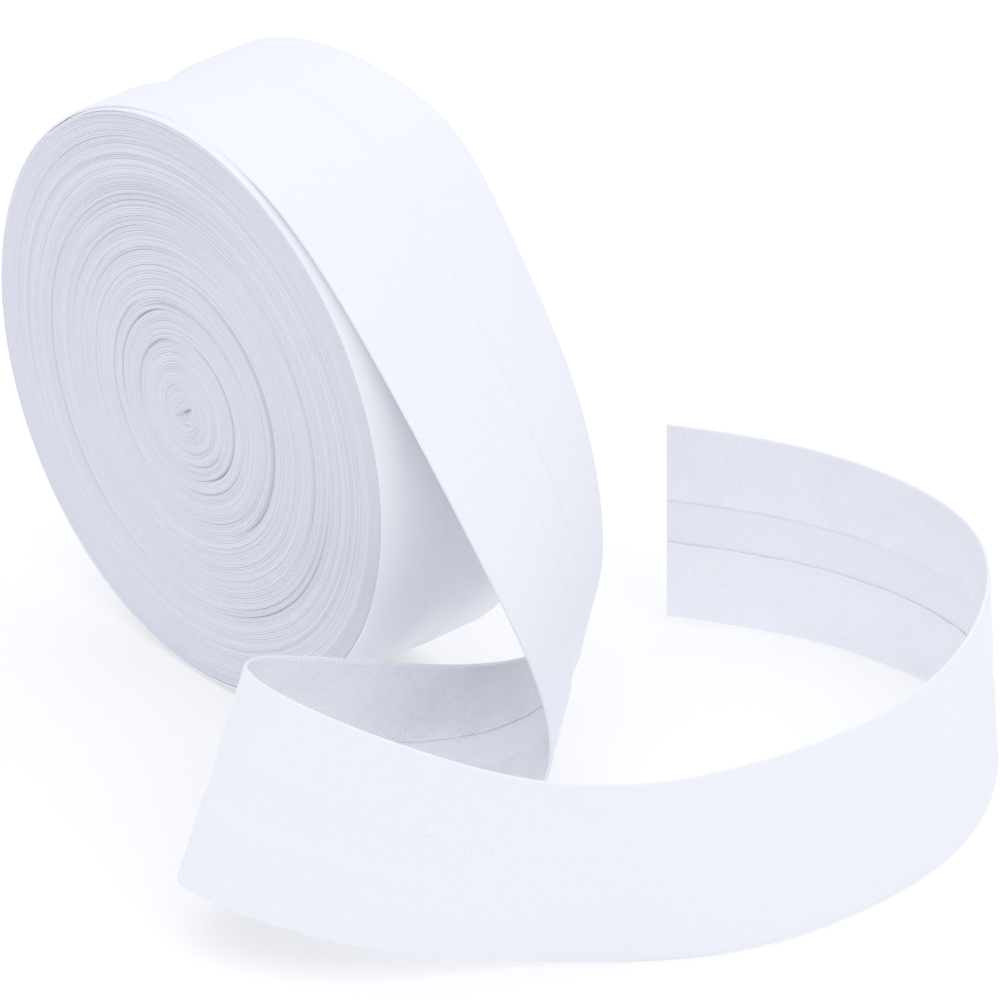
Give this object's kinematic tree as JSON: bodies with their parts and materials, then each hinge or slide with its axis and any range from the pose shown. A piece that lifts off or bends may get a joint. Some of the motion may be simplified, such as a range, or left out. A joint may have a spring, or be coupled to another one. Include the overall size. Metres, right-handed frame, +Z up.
{
  "type": "roll of bias tape",
  "caption": "Coreless roll of white folded cotton bias tape standing on its rim, with a loose end that falls, folds back and stands in an open loop.",
  "frame": {"origin": "middle of the flat spot on the roll's rim, on the surface that the roll stands on, midway between the roll's two faces", "axes": "+Z up, +Y along the roll's axis from its near face to its far face, +X towards the side on which the loose tape falls"},
  "size_m": [0.2064, 0.1683, 0.1244],
  "materials": {
    "wound_edges": "matt folded edges of wound white cotton tape, pressed side by side",
    "tape_cloth": "white cotton cut on the bias, with a faint sheen on its face and a fine diagonal weave on its back"
  },
  "bodies": {
    "root": {"wound_roll": "wound_edges", "loose_tail": "tape_cloth"}
  },
  "joints": []
}
